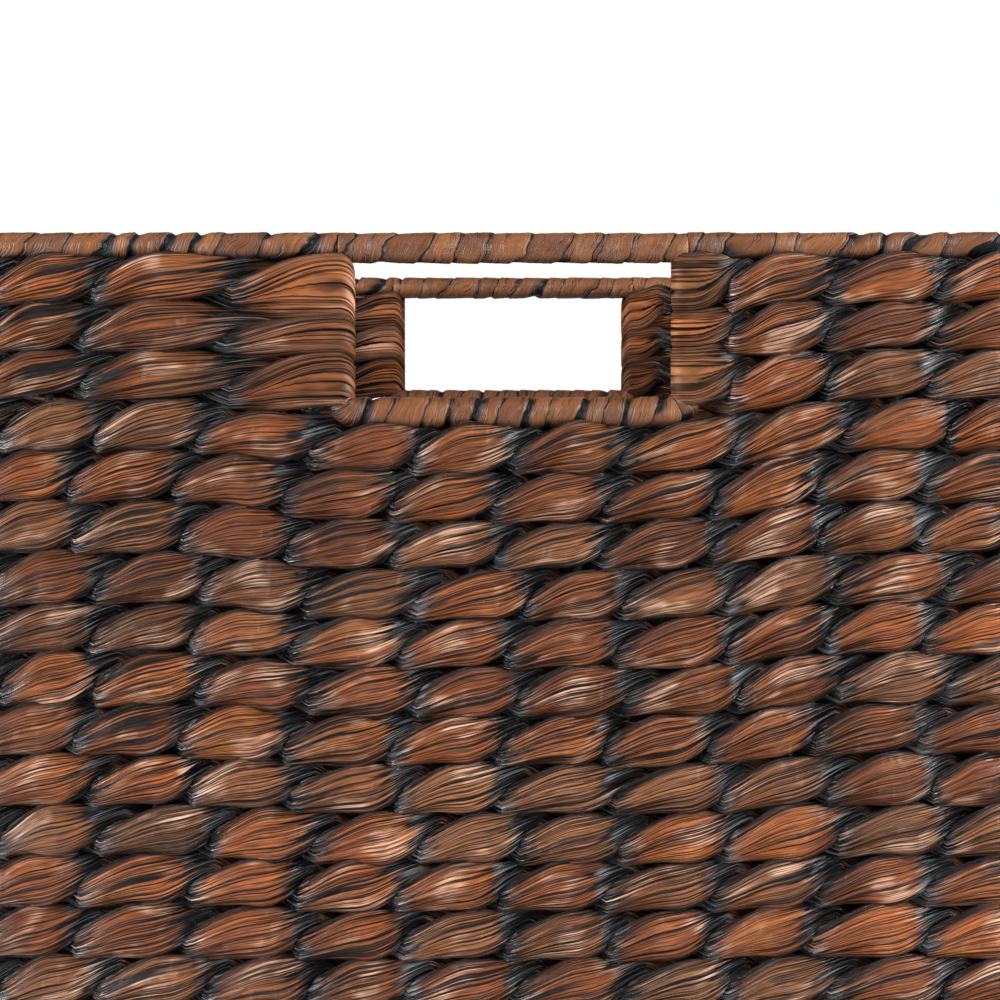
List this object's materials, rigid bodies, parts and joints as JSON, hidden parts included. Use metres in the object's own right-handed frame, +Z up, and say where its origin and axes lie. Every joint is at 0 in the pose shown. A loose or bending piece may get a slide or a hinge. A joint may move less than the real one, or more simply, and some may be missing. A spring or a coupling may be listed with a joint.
{
  "type": "open wicker storage basket",
  "caption": "Open rectangular storage basket of dark lacquered plant stems twined round a bent wire frame, with a wrapped rim and a cut-out handle in each end wall.",
  "frame": {"origin": "middle of the underside, on the surface that the basket stands on", "axes": "+Z up; Y runs between the two end walls that hold the handles, the front one at -Y; X runs between the two long side walls"},
  "size_m": [0.41, 0.51, 0.3037],
  "materials": {
    "twined_stem": "dark red-brown plant stem, clear lacquer, satin to glossy",
    "leaf_wrap": "flat leaf strip, tan-brown, matte to satin",
    "coated_wire": "dark grey coating, satin"
  },
  "bodies": {
    "root": {"stake_front_back_01": "coated_wire", "stake_front_back_02": "coated_wire", "stake_front_back_03": "coated_wire", "stake_front_back_04": "coated_wire", "stake_front_back_05": "coated_wire", "stake_front_back_06": "coated_wire", "stake_front_back_07": "coated_wire", "stake_front_back_08": "coated_wire", "stake_front_back_09": "coated_wire", "stake_front_back_10": "coated_wire", "stake_left_right_01": "coated_wire", "stake_left_right_02": "coated_wire", "stake_left_right_03": "coated_wire", "stake_left_right_04": "coated_wire", "stake_left_right_05": "coated_wire", "stake_left_right_06": "coated_wire", "stake_left_right_07": "coated_wire", "stake_left_right_08": "coated_wire", "stake_left_right_09": "coated_wire", "stake_left_right_10": "coated_wire", "stake_left_right_11": "coated_wire", "stake_left_right_12": "coated_wire", "stake_left_right_13": "coated_wire", "corner_post_1": "coated_wire", "corner_post_2": "coated_wire", "corner_post_3": "coated_wire", "corner_post_4": "coated_wire", "base_ring_wire": "coated_wire", "rim_wire": "coated_wire", "handle_frame_front": "coated_wire", "handle_frame_back": "coated_wire", "weave_course_01": "twined_stem", "weave_course_02": "twined_stem", "weave_course_03": "twined_stem", "weave_course_04": "twined_stem", "weave_course_05": "twined_stem", "weave_course_06": "twined_stem", "weave_course_07": "twined_stem", "weave_course_08": "twined_stem", "weave_course_09": "twined_stem", "weave_course_10": "twined_stem", "weave_course_11": "twined_stem", "weave_course_12": "twined_stem", "weave_course_13": "twined_stem", "handle_course_left_1": "twined_stem", "handle_course_left_2": "twined_stem", "handle_course_left_3": "twined_stem", "handle_course_right_1": "twined_stem", "handle_course_right_2": "twined_stem", "handle_course_right_3": "twined_stem", "base_edge_course": "twined_stem", "base_weave_under": "twined_stem", "base_weave_over": "twined_stem", "rim_wrap_left": "leaf_wrap", "rim_wrap_right": "leaf_wrap", "grip_wrap_front": "leaf_wrap", "grip_wrap_back": "leaf_wrap", "sill_wrap_front": "leaf_wrap", "sill_wrap_back": "leaf_wrap"}
  },
  "joints": []
}
